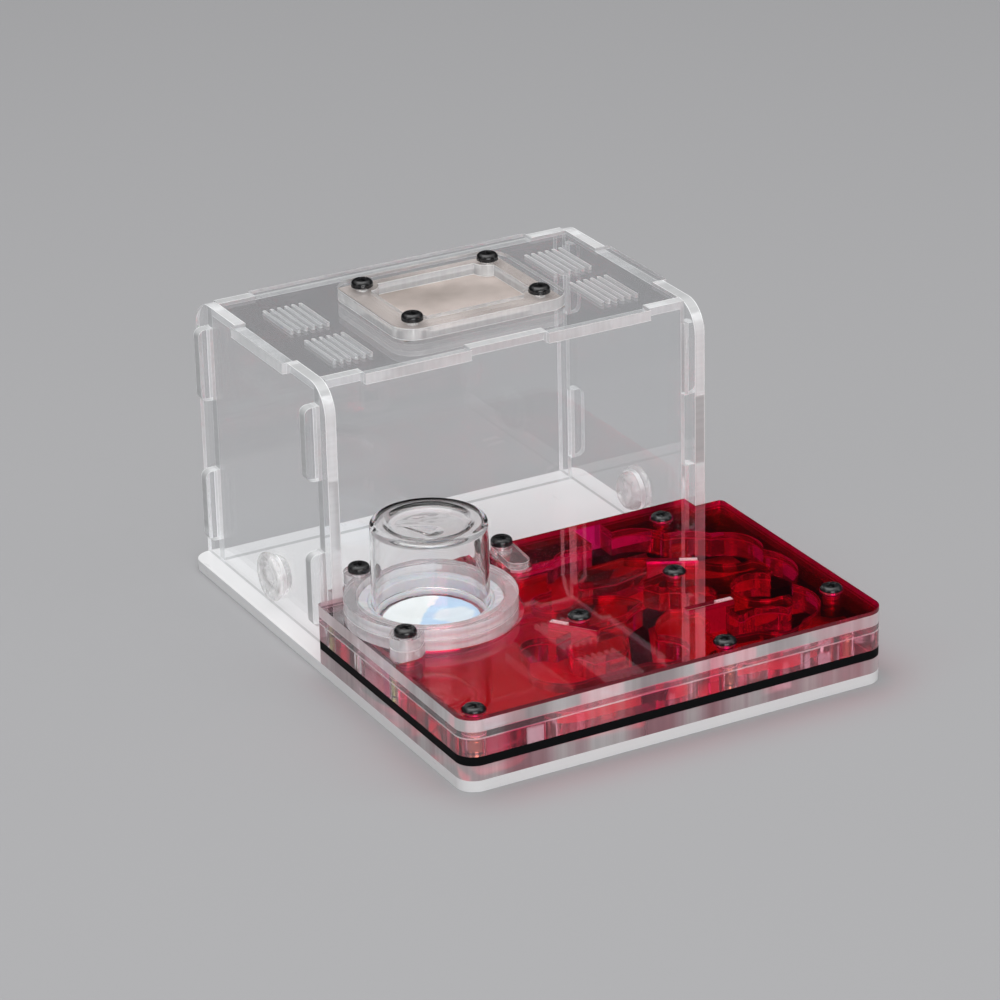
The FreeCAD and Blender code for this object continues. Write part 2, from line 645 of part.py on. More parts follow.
def water_cup():
    """Inverted cup with a rounded crown and a shallow dish in its top."""
    outer, inner = CUP_DIAMETER / 2, CUP_DIAMETER / 2 - CUP_WALL
    crown = CUP_CORNER
    hollow = CUP_CORNER - CUP_WALL
    dish = CUP_DISH_DIAMETER / 2
    top = CUP_HEIGHT
    roof = top - CUP_DISH_DEPTH - CUP_WALL
    profile = [
        (0, top - CUP_DISH_DEPTH),
        (dish - CUP_DISH_DEPTH, top - CUP_DISH_DEPTH),
        (dish, top),
        (outer - crown, top),
        (outer, top - crown, corner_point(outer - crown, top - crown, crown, 45)),
        (outer, 0),
        (inner, 0),
        (inner, roof - hollow),
        (inner - hollow, roof, corner_point(inner - hollow, roof - hollow, hollow, 45)),
        (0, roof),
    ]
    return turned(profile, V(TOWER_X, TOWER_Y, CUP_Z), V(0, 0, 1))


def cup_seal():
    """Soft ring under the cup: a flange, a socket in the base ring, and a lip the cup stands on."""
    bore = CUP_DIAMETER / 2 + FIT
    socket, lip = SOCKET_DIAMETER / 2, LIP_BORE / 2
    flange = CLAMP_Z + FIT - SEAL_Z
    profile = [
        (lip, 0),
        (socket, 0),
        (socket, flange),
        (SEAL_DIAMETER / 2, flange),
        (SEAL_DIAMETER / 2, flange + SEAL_THICK),
        (bore, flange + SEAL_THICK),
        (bore, LIP_THICK),
        (lip, LIP_THICK),
    ]
    return turned(profile, V(TOWER_X, TOWER_Y, SEAL_Z), V(0, 0, 1))


# ---------------------------------------------------------------- port flap
FLAP_Z = FILTER_Z + WASHER_THICK + FIT
FLAP_TOP = FLAP_Z + FLAP_THICK


def flap_tip():
    lean = math.radians(FLAP_TURN)
    return (FLAP_SCREW[0] - FLAP_LENGTH * math.sin(lean), FLAP_SCREW[1] - FLAP_LENGTH * math.cos(lean))


def port_flap():
    flap = run(FLAP_SCREW, flap_tip(), FLAP_WIDTH / 2, FLAP_Z, FLAP_TOP)
    return without(flap, screw_holes([FLAP_SCREW], SCREW_HOLE, FLAP_Z, FLAP_TOP))


def flap_washer():
    x, y = FLAP_SCREW
    washer = disc(x, y, FILTER_Z, FILTER_Z + WASHER_THICK, WASHER_DIAMETER)
    return without(washer, [disc(x, y, FILTER_Z, FILTER_Z + WASHER_THICK, SCREW_SHANK + 2 * FIT)])


def flap_screw():
    return pan_screw(FLAP_SCREW[0], FLAP_SCREW[1], FLAP_TOP + FIT, BODY_Z + SCREW_END_LIFT)


# ---------------------------------------------------------------- gates
def gate(name):
    """Thin partition with a grip that fills one end of its slot, level with the filter."""
    floor = BODY_Z + GATE_FLOOR
    plate = gate_box(name, GATE_WIDTH, GATE_THICK, floor, FILTER_Z - GATE_STEP)
    shift = GATE_GRIP_ENDS[name] * (GATE_WIDTH - GATE_GRIP) / 2
    grip = gate_box(name, GATE_GRIP, GATE_THICK, floor, FILTER_TOP, shift)
    return union([plate, grip])


# ---------------------------------------------------------------- export
def pieces():
    nest_wall, nest_islands = chamber_layer(BODY_Z, SPACER_Z)
    spacer_wall, spacer_islands = chamber_layer(SPACER_Z, COVER_Z)
    named = {
        "base_plate": base_plate(),
        "water_tray": water_tray(),
        "gasket": gasket(),
        "nest_wall": nest_wall,
        "nest_islands": nest_islands,
        "spacer_wall": spacer_wall,
        "spacer_islands": spacer_islands,
        "nest_cover": nest_cover(),
        "red_filter": red_filter(),
        "threaded_inserts": threaded_inserts(),
        "cover_screws": cover_screws(),
        "left_panel": side_panel(-1),
        "right_panel": side_panel(1),
        "front_panel": front_panel(),
        "back_panel": back_panel(),
        "top_panel": top_panel(),
        "vent_mesh": vent_mesh(),
        "hatch_frame": hatch_frame(),
        "hatch_screws": hatch_screws(),
        "plug_left": side_plug(-1),
        "plug_right": side_plug(1),
        "tower_base_ring": tower_base_ring(),
        "tower_clamp_ring": tower_clamp_ring(),
        "tower_screws": tower_screws(),
        "wick_pad": wick_pad(),
        "water_cup": water_cup(),
        "cup_seal": cup_seal(),
        "port_flap": port_flap(),
        "flap_washer": flap_washer(),
        "flap_screw": flap_screw(),
    }
    for name in GATE_PLACES:
        named[name] = gate(name)
    return named


os.makedirs("parts", exist_ok=True)
for name, shape in pieces().items():
    shape.exportStep("parts/" + name + ".step")
    print(name, len(shape.Solids), round(shape.Volume, 1), shape.isValid())
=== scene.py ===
import math

import bmesh
import bpy
import numpy as np
from bpy.props import FloatProperty, FloatVectorProperty, IntProperty, PointerProperty
from mathutils import Matrix, Vector


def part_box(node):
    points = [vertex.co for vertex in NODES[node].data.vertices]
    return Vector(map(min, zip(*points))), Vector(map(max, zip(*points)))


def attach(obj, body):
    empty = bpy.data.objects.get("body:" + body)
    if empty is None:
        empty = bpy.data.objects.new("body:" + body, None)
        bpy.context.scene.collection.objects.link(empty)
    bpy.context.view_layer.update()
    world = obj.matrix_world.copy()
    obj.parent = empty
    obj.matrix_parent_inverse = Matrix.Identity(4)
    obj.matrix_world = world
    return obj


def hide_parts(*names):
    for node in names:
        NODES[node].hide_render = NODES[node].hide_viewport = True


bl_info = {
    "name": "Ant habitat",
    "version": (1, 0, 0),
    "blender": (4, 5, 0),
    "location": "View3D > Sidebar > Habitat",
    "description": "Dresses the packed ant habitat: clear sheets, red filter, tower and fasteners",
    "category": "Object",
}

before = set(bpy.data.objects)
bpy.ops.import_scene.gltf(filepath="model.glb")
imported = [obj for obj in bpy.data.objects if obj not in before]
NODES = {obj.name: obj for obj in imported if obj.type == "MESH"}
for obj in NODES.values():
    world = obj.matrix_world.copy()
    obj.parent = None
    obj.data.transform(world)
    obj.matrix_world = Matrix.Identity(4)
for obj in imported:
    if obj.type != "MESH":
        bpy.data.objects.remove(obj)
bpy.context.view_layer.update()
MM = 0.001
WELD = 1e-6                      # points or levels this near each other are the same

# Screws
SCREW_NODES = ("cover_screws", "tower_screws", "flap_screw", "hatch_screws")
HEAD_RADIUS = 2.88 * MM
HEAD_HEIGHT = 2.0 * MM
HEAD_ROUND = 1.15 * MM           # radius that rounds the head's rim
HEAD_DOME = 0.12 * MM            # how far the face would fall from its middle to the head's radius
HEAD_STEP = 0.06 * MM            # the rim's round starts this far under the middle of the face
HEAD_BEVEL = 0.12 * MM           # bevel round the head's underside
HEAD_SEAT = 0.02 * MM            # the underside stays this much above the thread's first row
RECESS_REACH = 1.5 * MM          # length of one arm of the cross recess
RECESS_HALF = 0.40 * MM          # half the width of an arm
RECESS_END = 0.18 * MM           # run of the slope that ends an arm
RECESS_SIDE = 0.12 * MM          # run of the slope at an arm's side
RECESS_RISE = 0.3                # share of its depth that an arm loses towards its end
SHANK_RADIUS = 1.45 * MM
THREAD_ROWS = 7                  # rows of points in one turn of the thread
THREAD_FADE = 0.4 * MM           # the thread starts and ends over this length
TIP_LENGTH = 0.5 * MM
TIP_TAPER = 0.35 * MM            # how much narrower the shank ends
BARE_FADE = 0.1 * MM             # the black of the head gives way to steel over this height

# Brass inserts, with places as shares of their height
BUSH_RADIUS = 2.09 * MM
BUSH_BORE = 1.5 * MM             # radius of the bore
BUSH_GROOVE = 0.22 * MM          # depth of the groove round the middle
BUSH_GROOVE_HALF = 0.05
BUSH_END = 0.6                   # share of that depth by which the ends step in
BUSH_END_HEIGHT = 0.03
KNURL_DEPTH = 0.16 * MM
KNURL_BANDS = (0.27, 0.73)       # middles of the two knurled bands
KNURL_HALF = 0.19                # half the height of a band

# Water tower
DISH_SLOPE = (-1.1 * MM, 0.1 * MM)       # where the dish's side starts and ends, past its radius
DISH_SLOPE_UNDER = (-1.0 * MM, 0.5 * MM)     # and the same under the crown
CROWN_ROUND = 1.4 * MM
CROWN_ROUND_INSIDE = 0.9 * MM
CUP_FOOT_ROUND = 0.3 * MM
ROOF_LEVEL = 2.3 * MM            # the roof under the dish is level from this far inside its radius
SLANT = (0.881, -0.473)          # plan direction from the pad's dry side to its water
DROP_TAIL = 6.6 * MM             # length of the tail, which points back along the slant
DROP_RADIUS = 3.2 * MM
DROP_POINT = 0.2 * MM            # radius at the end of its tail
DROP_ASIDE = 2.4 * MM            # how far the drop's middle is from the cup's
DROP_STRETCH = 1.2               # length of the drop's round end over its width
DROP_FLANK = 1.7                 # slope of its side, which is full from there inwards
DROP_THIN = 1.6                  # how soon it gets shallower towards the end of its tail
SEAL_SOCKET = 16.15 * MM         # outer radius of the part that sits in the base ring
SEAL_FLANGE = 1.2 * MM           # thickness of the flange in the clamp ring
SEAL_ROUND = 0.3 * MM
SEAL_COLLAR = (0.7 * MM, 0.9 * MM)       # where the raised collar starts and is full, past the bore
SEAL_COLLAR_HEIGHT = 0.3 * MM
SEAL_SLACK = 0.06 * MM           # gap between the cup's side and the seal
SEAL_SEAT = 0.03 * MM            # gap under the cup's foot
PAD_ROUND = (0.6 * MM, 1.1 * MM)     # rounding of the pad's lower and upper rim
PAD_SINK = 0.12 * MM             # mean sag of the pad's top
PAD_SINK_SHARE = 0.97            # share of the pad's radius inside which its top sags
PAD_SINK_HEIGHT = 0.2 * MM       # only points this near the top sag
PAD_WAVES = (3, 5)               # waves round the pad, and radians from its middle to its rim

# Side plugs, with depths taken inwards from the outer face of the CAD plug
PLUG_FLANGE = 6.6 * MM           # radius
PLUG_FACE = 0.4 * MM             # depth of the flange's front
PLUG_SINK = 0.45 * MM            # depth of the sunk middle under that front
PLUG_SINK_RADIUS = (3.7 * MM, 4.5 * MM)
PLUG_BACK = 2.2 * MM             # depth of the flange's back
PLUG_STEM = 5.45 * MM            # radius
PLUG_STEM_DEPTH = 5.3 * MM
PLUG_NOSE = 5.0 * MM             # radius of the stem's domed end
PLUG_SHORT = 1.6 * MM            # the end stays this far from the end of the CAD plug

# Vent mesh
MESH_MARGIN = 0.5 * MM
MESH_HALF = (17 * MM, 12.5 * MM)     # half length and half width of the arch of its sag
MESH_LEVEL = 0.25 * MM           # height of its middle layer over the CAD mesh's underside
MESH_SAG = 0.1 * MM
MESH_RIPPLE = 0.12 * MM
MESH_WAVES = (260, 120)          # radians per metre along x and y
MESH_HALF_THICK = 0.1 * MM
MESH_PITCH = 0.42 * MM           # of the woven wires

# Sheets and their finish
ARENA_PANELS = ((0, "x", ("left_panel", "right_panel")), (1, "y", ("front_panel", "back_panel")),
                (2, "z", ("top_panel",)))
TOWER_CORNER = (-14 * MM, -42 * MM)  # left of and behind this point the red filter is cut away
RED_LIGHT_FADE = 4.0 * MM            # the painted red light comes in over this distance
HIGHLIGHT_WIDTH = 0.24 * MM                  # width of the painted highlight line where a cut edge meets a face of its sheet
RIM_HIGHLIGHT = 0.55                  # how much milkier the edge is along that line, as a painted highlight
EDGE_NORMAL = 0.8                # faces whose normal has less than this along the axis are cut edges
EDGE_GAIN = 8.0                  # how fast they turn from polished to cut below it
MARK_STRETCH = 0.02              # scale of the laser's marks along the sheet's axis
ACRYLIC_IOR = 1.49
PLUG_IOR = 1.45
MILK = (0.96, 0.97, 0.98)        # light that the milky part of a cut edge throws back
COOL_MILK = (0.98, 0.98, 1.0)
WARM_MILK = (0.97, 0.93, 0.94)
RED_MILK = (0.5, 0.0, 0.03)
PAINTED_RED_LIGHT = (0.95, 0.05, 0.19)    # painted red light on the milky patches under the red filter

# Damp foam: where water stands, measured from the pad's middle across and along the slant
SHORE = 2.3 * MM                 # the water's line lies this far back from the middle
SHORE_LEAN = 0.3                 # and leans by this much
ISLAND = (5.7 * MM, -0.5 * MM)   # middle of the drier disc in the water
ISLAND_RADIUS = 4.0 * MM
SHORE_WANDER = 5.0 * MM          # how far noise moves both edges at most, from end to end
SHORE_EDGE, ISLAND_EDGE = 1400.0, 700.0      # how fast their colour comes in, per metre

# Stage, in metres and degrees
CAMERA_PLACE = (-0.46653, -0.85558, 0.46465)
CAMERA_YAW, CAMERA_PITCH, CAMERA_ROLL = 28.2263, 23.8196, -1.3615
CAMERA_SENSOR, CAMERA_LENS = 36.0, 149.236       # mm
LIT_SPOT = (0, 0, 0.03)
LAMPS = (("softbox_above", "key", (-0.10, 0.15, 1.1), (1.1, 0.9)),
         ("softbox_left", "side", (-1.1, -0.1, 0.60), (0.5, 0.9)),
         ("softbox_right", "side", (1.0, -0.6, 0.6), (0.5, 0.9)),
         ("softbox_front", "front", (-0.35, -1.25, 0.45), (0.9, 0.6)))
FLOOR_HALF = 4.0
FLOOR_GAP = 0.05 * MM            # between the base plate and the floor
ROOM_STOPS = ((0.50, (0.012, 0.012, 0.013)), (0.85, (1, 1, 1)))      # sine of the height, colour


# ---------------------------------------------------------------- settings
# Each of these makes one kind of property.
def colour_setting(name, description, default):
    return FloatVectorProperty(name=name, description=description, default=default, subtype="COLOR",
                               min=0, max=1)


def share_setting(name, description, default):
    return FloatProperty(name=name, description=description, default=default, min=0, max=1)


def length_setting(name, description, default, low, high):
    return FloatProperty(name=name, description=description, default=default, min=low, max=high,
                         unit="LENGTH")


def power_setting(name, description, default):
    return FloatProperty(name=name, description=description, default=default, min=0)


class AcrylicSettings(bpy.types.PropertyGroup):
    tint: colour_setting("Sheet tint", "Colour that clear acrylic gives to light", (0.985, 0.99, 0.995))
    red: colour_setting("Filter tint", "Colour that the red filter lets through", (0.84, 0.002, 0.20))
    # Painted red light: the nest's clear sheets take this tint where the red filter lies above them.
    blush: colour_setting("Blush", "Tint that the nest's sheets take from the red filter above",
                          (0.98, 0.44, 0.56))
    edge_roughness: share_setting("Edge roughness", "How rough the laser leaves a cut edge", 0.16)
    arena_frost: share_setting("Arena edge frost", "Share of a panel's cut edge that looks milky", 0.60)
    ring_frost: share_setting("Ring edge frost", "Share of a tower ring's edge that looks milky", 0.30)
    flap_frost: share_setting("Flap edge frost", "Share of the flap's cut edge that looks milky", 0.16)
    hatch_frost: share_setting("Hatch edge frost", "Share of the hatch frame's edge that looks milky", 0.34)
    cover_frost: share_setting("Cover edge frost", "Share of the cover's edge that looks milky", 0.50)
    spacer_frost: share_setting("Spacer edge frost", "Share of the spacer's edge that looks milky", 0.15)
    wall_frost: share_setting("Wall edge frost", "Share of a gallery wall's edge that looks milky", 0.09)
    tray_frost: share_setting("Tray edge frost", "Share of the tray's cut edge that looks milky", 0.40)
    filter_frost: share_setting("Filter edge frost", "Share of the filter's cut edge that looks milky", 0.30)
    polish: share_setting("Nest edge roughness", "How rough the flame-polished nest edges are", 0.05)
    mark_spacing: length_setting("Cut marks", "Spacing of the laser's marks along an edge",
                                 1.1 * MM, 0.1 * MM, 10 * MM)


class FastenerSettings(bpy.types.PropertyGroup):
    thread_pitch: length_setting("Thread pitch", "Rise of the screw thread in one turn",
                                 0.5 * MM, 0.2 * MM, 2 * MM)
    thread_depth: length_setting("Thread depth", "Depth of the screw thread", 0.28 * MM, 0, 1 * MM)
    recess_depth: length_setting("Recess depth", "Depth of the cross recess at its middle",
                                 1.3 * MM, 0, 2 * MM)
    black: colour_setting("Screw colour", "Colour of the blackened screws", (0.010, 0.010, 0.011))
    # Greener than brass, so that the inserts read as brass through the nest walls' painted pink.
    brass: colour_setting("Insert colour", "Colour of the brass inserts", (0.68, 0.78, 0.28))
    knurls: IntProperty(name="Knurls", description="Ridges round one insert", default=22, min=6, max=60)


class TowerSettings(bpy.types.PropertyGroup):
    cup_wall: length_setting("Cup wall", "Wall of the water cup", 1.2 * MM, 0.5 * MM, 3 * MM)
    cup_taper: length_setting("Cup taper", "How much narrower the cup is under its crown",
                              0.15 * MM, 0, 2 * MM)
    dish: length_setting("Dish", "Diameter of the dish in the cup's crown", 21.2 * MM, 10 * MM, 26 * MM)
    dish_depth: length_setting("Dish depth", "Depth of the dish in the cup's crown", 1.5 * MM, 0, 3 * MM)
    drop: length_setting("Drop", "Depth of the drop of water that hangs under the crown",
                         0.6 * MM, 0, 2 * MM)
    lip: length_setting("Seal lip", "Inner diameter of the seal's lip under the cup",
                        26 * MM, 20 * MM, 29 * MM)
    silicone: colour_setting("Seal colour", "Colour of the milky seal", (0.72, 0.72, 0.76))
    pad: colour_setting("Pad colour", "Colour of the wick pad where it is wet through", (0.93, 0.985, 0.99))
    water: colour_setting("Water colour", "Colour of the pad under standing water", (0.55, 0.76, 0.985))


class StageSettings(bpy.types.PropertyGroup):
    floor: colour_setting("Floor", "Colour of the floor", (0.41, 0.41, 0.42))
    key: power_setting("Key light", "Power of the large light above", 5.2)
    side: power_setting("Side lights", "Power of each side light", 1.3)
    front: power_setting("Front light", "Power of the soft light in front", 7.0)
    sky: power_setting("Room light", "Strength of the even light of the room", 1.0)


# ---------------------------------------------------------------- frame
def points_of(mesh):
    points = np.empty(len(mesh.vertices) * 3)
    mesh.vertices.foreach_get("co", points)
    return points.reshape(-1, 3)


def solids(node):
    """Lowest and highest corner of each separate solid in a CAD node.

    Points that lie together get one number, and each edge hands the lower of its two numbers on
    until nothing changes, so that a solid ends up with a number of its own.
    """
    mesh = NODES[node].data
    points = points_of(mesh)
    ends = np.empty(len(mesh.edges) * 2, dtype=np.int32)
    mesh.edges.foreach_get("vertices", ends)
    cells = np.round(points / WELD).astype(np.int64)
    same = np.unique(cells, axis=0, return_inverse=True)[1].reshape(-1)
    a, b = same[ends.reshape(-1, 2)].T
    label, before = np.arange(same.max() + 1), None
    while before is None or (label != before).any():
        before = label.copy()
        lower = np.minimum(label[a], label[b])
        np.minimum.at(label, a, lower)
        np.minimum.at(label, b, lower)
    groups = [points[label[same] == number] for number in np.unique(label[same])]
    return [(group.min(axis=0), group.max(axis=0)) for group in groups]


def middle_of(low, high):
    """Plan middle of a box."""
    return (low[0] + high[0]) / 2, (low[1] + high[1]) / 2


def rims_of(axis, *names):
    """Places along an axis where the sheets' faces are."""
    return sorted({round(corner[axis], 6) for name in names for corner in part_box(name)})


# ---------------------------------------------------------------- surfaces
def quads(rows, columns, wrap_rows, wrap_columns, first=0):
    """Vertex numbers of the quads of a grid whose rows and columns may close on themselves."""
    r = np.arange(rows if wrap_rows else rows - 1)[:, None]
    c = np.arange(columns if wrap_columns else columns - 1)[None, :]
    r2, c2 = (r + 1) % rows, (c + 1) % columns
    index = np.stack([r * columns + c, r * columns + c2, r2 * columns + c2, r2 * columns + c], axis=-1)
    return index.reshape(-1, 4) + first


def skin(name, grids, wrap_rows=False, wrap_columns=True, sharp=38.0):
    """One mesh piece from grids of points; rows that shrink to a point close as poles."""
    points, faces, first = [], [], 0
    for grid in grids:
        rows, columns = grid.shape[:2]
        points.append(grid.reshape(-1, 3))
        faces.append(quads(rows, columns, wrap_rows, wrap_columns, first))
        first += rows * columns
    mesh = bpy.data.meshes.new(name)
    mesh.from_pydata(np.concatenate(points).tolist(), [], np.concatenate(faces).tolist())
    work = bmesh.new()
    work.from_mesh(mesh)
    bmesh.ops.remove_doubles(work, verts=work.verts, dist=WELD / 10)
    bmesh.ops.recalc_face_normals(work, faces=work.faces)
    work.to_mesh(mesh)
    work.free()
    mesh.polygons.foreach_set("use_smooth", np.ones(len(mesh.polygons), bool))
    mesh.set_sharp_from_angle(angle=math.radians(sharp))
    piece = bpy.data.objects.new(name, mesh)
    bpy.context.scene.collection.objects.link(piece)
    return piece


def rounded_profile(corners, closed=False, steps=6):
    """Profile through (radius, height, rounding) corners.

    Each corner gives way to a curve that starts and ends its rounding away from it along the two
    sides, and is the sum of start, corner and end weighted (1-t)^2, 2t(1-t) and t^2.
    """
    corners = np.array(corners, float)
    flat, ease = corners[:, :2], corners[:, 2]
    t = np.linspace(0, 1, steps)[:, None]
    out = []
    for k, corner in enumerate(flat):
        if not closed and k in (0, len(flat) - 1) or ease[k] <= 0:
            out.append(corner[None])
            continue
        before, after = flat[k - 1] - corner, flat[(k + 1) % len(flat)] - corner
        start = corner + before / np.linalg.norm(before) * ease[k]
        end = corner + after / np.linalg.norm(after) * ease[k]
        out.append((1 - t) ** 2 * start + 2 * t * (1 - t) * corner + t ** 2 * end)
    return np.concatenate(out)


def with_rings(profile, radii):
    """The profile with rings of its last height set in before its last point."""
    level = np.full(len(radii), profile[-1, 1])
    return np.concatenate([profile[:-1], np.stack([radii, level], axis=1), profile[-1:]])


def circle(steps):
    """Angles of one turn in equal steps."""
    return 2 * np.pi * np.arange(steps) / steps


def turned(profile, centre, steps=96, axis="Z", sign=1.0):
    """Grid of a surface of revolution: each (radius, height) point swung round the axis."""
    turn = circle(steps)
    radius, height = profile[:, 0, None], profile[:, 1, None]
    across, up = radius * np.cos(turn), radius * np.sin(turn)
    along = np.broadcast_to(height * sign, across.shape)
    order = (along, across, up) if axis == "X" else (across, up, along)
    return np.stack(order, axis=-1) + np.array(centre)


def smooth(value):
    """Rise from 0 to 1 over the same span, level at both ends: 3v^2 - 2v^3."""
    value = np.clip(value, 0, 1)
    return value * value * (3 - 2 * value)


def slanted(x, y):
    """Distances across and along the slant, as the sums of x and y weighted by its direction."""
    return x * SLANT[0] + y * SLANT[1], y * SLANT[0] - x * SLANT[1]


def recess_arm(along, across):
    """Depth of one arm of the cross recess, from 0 to 1.

    It is a bar with smooth slopes at its end and sides, and loses depth in proportion to the
    distance from the middle.
    """
    end = smooth((RECESS_REACH - np.abs(along)) / RECESS_END)
    side = smooth((RECESS_HALF - np.abs(across)) / RECESS_SIDE)
    return end * side * (1 - RECESS_RISE * np.abs(along) / RECESS_REACH)


def screw_grid(x, y, low, top, settings, steps=72):
    """Pan-head screw as one polar grid, from the middle of its head down to its tip.

    The head is a flat dome with a quarter circle round its rim, and the cross recess is the deeper
    of two crossed arms. The shank's radius follows a triangle wave of height minus angle, so its
    thread climbs as it turns.
    """
    turn = circle(steps)
    flat = HEAD_RADIUS - HEAD_ROUND
    face = np.linspace(0, flat, 26)
    bend = np.linspace(0, np.pi / 2, 9)[1:]
    radius = np.concatenate([face, flat + HEAD_ROUND * np.sin(bend),
                             [HEAD_RADIUS, HEAD_RADIUS - HEAD_BEVEL, SHANK_RADIUS]])
    drop = np.concatenate([HEAD_DOME * (face / HEAD_RADIUS) ** 2, HEAD_ROUND * (1 - np.cos(bend)) + HEAD_STEP,
                           [HEAD_HEIGHT - HEAD_BEVEL, HEAD_HEIGHT, HEAD_HEIGHT]])
    drop = np.minimum(drop, HEAD_HEIGHT - HEAD_SEAT)
    head_x, head_y = radius[:, None] * np.cos(turn), radius[:, None] * np.sin(turn)
    recess = np.maximum(recess_arm(head_x, head_y), recess_arm(head_y, head_x)) * settings.recess_depth
    recess[len(face):] = 0
    head_z = top - drop[:, None] - recess

    length = top - HEAD_HEIGHT - low
    down = np.linspace(0, length, int(length / settings.thread_pitch * THREAD_ROWS))[:, None]
    wave = np.abs(((down / settings.thread_pitch + turn / (2 * np.pi)) % 1) * 2 - 1)
    fade = smooth(down / THREAD_FADE) * smooth((length - down) / THREAD_FADE)
    taper = TIP_TAPER * smooth((down - length + TIP_LENGTH) / TIP_LENGTH)
    thread = SHANK_RADIUS - settings.thread_depth * wave * fade - taper
    thread_z = np.broadcast_to(top - HEAD_HEIGHT - down, thread.shape)
    tip = np.zeros((1, steps))
    grid = np.stack([np.concatenate([head_x, thread * np.cos(turn), tip]),
                     np.concatenate([head_y, thread * np.sin(turn), tip]),
                     np.concatenate([head_z, thread_z, tip + low])], axis=-1)
    return grid + np.array([x, y, 0])


# ---------------------------------------------------------------- finishes
class Wire:
    """One output of a finish's nodes. Arithmetic on it adds Math nodes."""

    def __init__(self, finish, socket):
        self.finish, self.socket = finish, socket

    def __add__(self, other):
        return self.finish.maths("ADD", self, other)

    def __sub__(self, other):
        return self.finish.maths("SUBTRACT", self, other)

    def __rsub__(self, other):
        return self.finish.maths("SUBTRACT", other, self)

    def __mul__(self, other):
        return self.finish.maths("MULTIPLY", self, other)

    __radd__, __rmul__ = __add__, __mul__


class Finish:
    """A material, or the world, in the making."""

    def __init__(self, owner):
        self.owner = owner
        owner.use_nodes = True
        self.nodes, self.links = owner.node_tree.nodes, owner.node_tree.links
        self.nodes.clear()

    def add(self, kind, settings=None, inputs=None, output=0):
        """Adds a node: its settings first, then a value or a link for each of its sockets."""
        node = self.nodes.new("ShaderNode" + kind)
        for key, value in (settings or {}).items():
            if key == "stops":
                for element, (place, colour) in zip(node.color_ramp.elements, value):
                    element.position, element.color = place, rgba(colour)
            else:
                setattr(node, key, value)
        for key, value in (inputs or {}).items():
            socket = node.inputs[key]
            if isinstance(value, Wire):
                self.links.new(value.socket, socket)
            else:
                socket.default_value = value
        return Wire(self, node.outputs[output]) if node.outputs else None

    def maths(self, operation, a, b=0.0):
        return self.add("Math", {"operation": operation}, {0: a, 1: b})

    def clamp(self, value):
        return self.add("Clamp", None, {"Value": value})

    def coordinate(self, axis, kind="Object"):
        """How far each point is along an axis, or how much of its normal is."""
        return self.add("SeparateXYZ", None, {0: self.add("TexCoord", output=kind)}, output=axis)

    def place(self, scale=(1, 1, 1), turn=(0, 0, 0)):
        """Object coordinates, turned and stretched."""
        spot = self.add("TexCoord", output="Object")
        return self.add("Mapping", None, {"Vector": spot, "Scale": scale, "Rotation": turn})

    def noise(self, scale, detail=2.0, place=None):
        return self.add("TexNoise", None, {"Vector": place or self.place(), "Scale": scale, "Detail": detail})

    def mix(self, factor, a, b):
        """Blend of two shaders."""
        return self.add("MixShader", None, {0: factor, 1: a, 2: b})

    def tint(self, factor, a, b):
        """Blend of two colours."""
        return self.add("Mix", {"data_type": "RGBA"}, {"Factor": factor, "A": a, "B": b}, output=2)

    def bump(self, height, distance):
        return self.add("Bump", None, {"Height": height, "Distance": distance})

    def shader(self, **inputs):
        named = {key.replace("_", " "): value for key, value in inputs.items()}
        return self.add("BsdfPrincipled", None, named)

    def glass(self, colour, roughness, normal, ior=ACRYLIC_IOR):
        return self.shader(Base_Color=colour, Roughness=roughness, IOR=ior, Transmission_Weight=1.0,
                           Normal=normal)

    def lets_lamps_through(self, glass, colour):
        """Clear plastic that shades what it covers only by its own tint."""
        shadow, bounce = (self.add("LightPath", output=f"Is {kind} Ray") for kind in ("Shadow", "Diffuse"))
        open_air = self.add("BsdfTransparent", None, {"Color": rgba(colour)})
        return self.mix(bounce, self.mix(shadow, glass, open_air), open_air)

    def done(self, surface, kind="Material"):
        self.add("Output" + kind, None, {"Surface": surface})
        return self.owner


def rgba(colour):
    return (*colour, 1.0)


def new_finish(name):
    return Finish(bpy.data.materials.new(name))


def through_one_face(colour):
    """Tint of one of a sheet's two faces, which together give the whole: its square root."""
    return tuple(math.sqrt(c) for c in colour)


